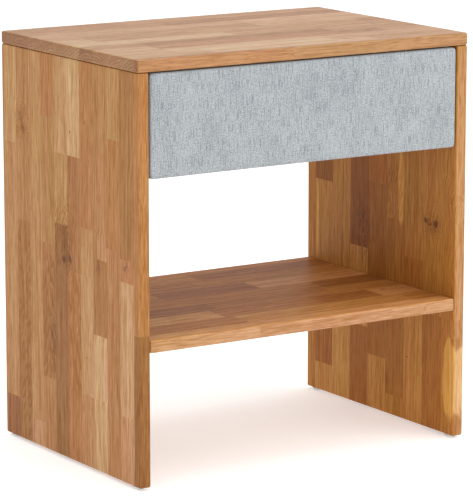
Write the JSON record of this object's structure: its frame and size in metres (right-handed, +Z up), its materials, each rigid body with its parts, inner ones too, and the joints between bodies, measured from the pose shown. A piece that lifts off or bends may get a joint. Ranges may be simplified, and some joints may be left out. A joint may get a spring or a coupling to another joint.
{
  "type": "bedside table with one drawer",
  "caption": "Solid-wood bedside table with an open shelf and a cloth-fronted, inset drawer on ball-bearing slides.",
  "frame": {"origin": "on the floor, under the middle of the object", "axes": "+Z up, the drawer opens towards -Y, +X to the right as seen from the front"},
  "size_m": [0.55, 0.38, 0.596],
  "materials": {
    "oiled_wood": "oiled, satin",
    "beech": "raw",
    "box_wood": "clear lacquer",
    "zinc_steel": "zinc plated",
    "bright_steel": "polished",
    "cloth": "heathered weave",
    "wadding": "soft",
    "clear_plastic": "translucent, satin",
    "tan_plastic": "satin",
    "black_plastic": "satin",
    "rubber": "matte"
  },
  "bodies": {
    "drawer": {"box_back": "box_wood", "box_bottom": "box_wood", "box_front": "box_wood", "box_slide_screws": "zinc_steel", "cover_staples": "zinc_steel", "front_board": "box_wood", "front_cover": "cloth", "front_padding": "wadding", "front_screws": "zinc_steel", "left_box_side": "box_wood", "left_slide_inner": "zinc_steel", "lever_rivets": "zinc_steel", "right_box_side": "box_wood", "right_slide_inner": "zinc_steel"},
    "root": {"cam_bolts": "zinc_steel", "cam_caps": "tan_plastic", "cam_locks": "zinc_steel", "front_left_glide": "clear_plastic", "front_right_glide": "clear_plastic", "glide_nails": "zinc_steel", "left_side_panel": "oiled_wood", "left_slide_outer": "zinc_steel", "rear_left_glide": "clear_plastic", "rear_rail": "oiled_wood", "rear_right_glide": "clear_plastic", "right_side_panel": "oiled_wood", "right_slide_outer": "zinc_steel", "shelf": "oiled_wood", "side_slide_screws": "zinc_steel", "slide_bumpers": "rubber", "top_panel": "oiled_wood", "wood_dowels": "beech"},
    "left_inner_cage": {"left_inner_ball_cage": "zinc_steel", "left_inner_balls": "bright_steel"},
    "left_outer_cage": {"left_outer_ball_cage": "zinc_steel", "left_outer_balls": "bright_steel"},
    "left_lever": {"left_release_lever": "black_plastic"},
    "left_middle": {"left_slide_middle": "zinc_steel"},
    "right_inner_cage": {"right_inner_ball_cage": "zinc_steel", "right_inner_balls": "bright_steel"},
    "right_outer_cage": {"right_outer_ball_cage": "zinc_steel", "right_outer_balls": "bright_steel"},
    "right_lever": {"right_release_lever": "black_plastic"},
    "right_middle": {"right_slide_middle": "zinc_steel"}
  },
  "joints": [
    {"name": "drawer_slide", "type": "slide", "parent": "root", "child": "drawer", "axis": [0, -1, 0], "range_m": [0, 0.3]},
    {"name": "left_middle_slide", "type": "slide", "parent": "root", "child": "left_middle", "axis": [0, -1, 0], "range_m": [0, 0.15]},
    {"name": "left_outer_cage_slide", "type": "slide", "parent": "root", "child": "left_outer_cage", "axis": [0, -1, 0], "range_m": [0, 0.075]},
    {"name": "left_inner_cage_slide", "type": "slide", "parent": "root", "child": "left_inner_cage", "axis": [0, -1, 0], "range_m": [0, 0.225]},
    {"name": "left_lever_turn", "type": "hinge", "parent": "drawer", "child": "left_lever", "pos_m": [-0.2465, 0.0166, 0.498], "axis": [1, 0, 0], "range_deg": [-6, 6], "stiffness_Nm_per_rad": 0.02},
    {"name": "right_middle_slide", "type": "slide", "parent": "root", "child": "right_middle", "axis": [0, -1, 0], "range_m": [0, 0.15]},
    {"name": "right_outer_cage_slide", "type": "slide", "parent": "root", "child": "right_outer_cage", "axis": [0, -1, 0], "range_m": [0, 0.075]},
    {"name": "right_inner_cage_slide", "type": "slide", "parent": "root", "child": "right_inner_cage", "axis": [0, -1, 0], "range_m": [0, 0.225]},
    {"name": "right_lever_turn", "type": "hinge", "parent": "drawer", "child": "right_lever", "pos_m": [0.2465, 0.0166, 0.498], "axis": [1, 0, 0], "range_deg": [-6, 6], "stiffness_Nm_per_rad": 0.02}
  ],
  "couplings": [
    {"joint": "left_middle_slide", "follows": "drawer_slide", "ratio": 0.5},
    {"joint": "left_outer_cage_slide", "follows": "drawer_slide", "ratio": 0.25},
    {"joint": "left_inner_cage_slide", "follows": "drawer_slide", "ratio": 0.75},
    {"joint": "right_middle_slide", "follows": "drawer_slide", "ratio": 0.5},
    {"joint": "right_outer_cage_slide", "follows": "drawer_slide", "ratio": 0.25},
    {"joint": "right_inner_cage_slide", "follows": "drawer_slide", "ratio": 0.75}
  ]
}
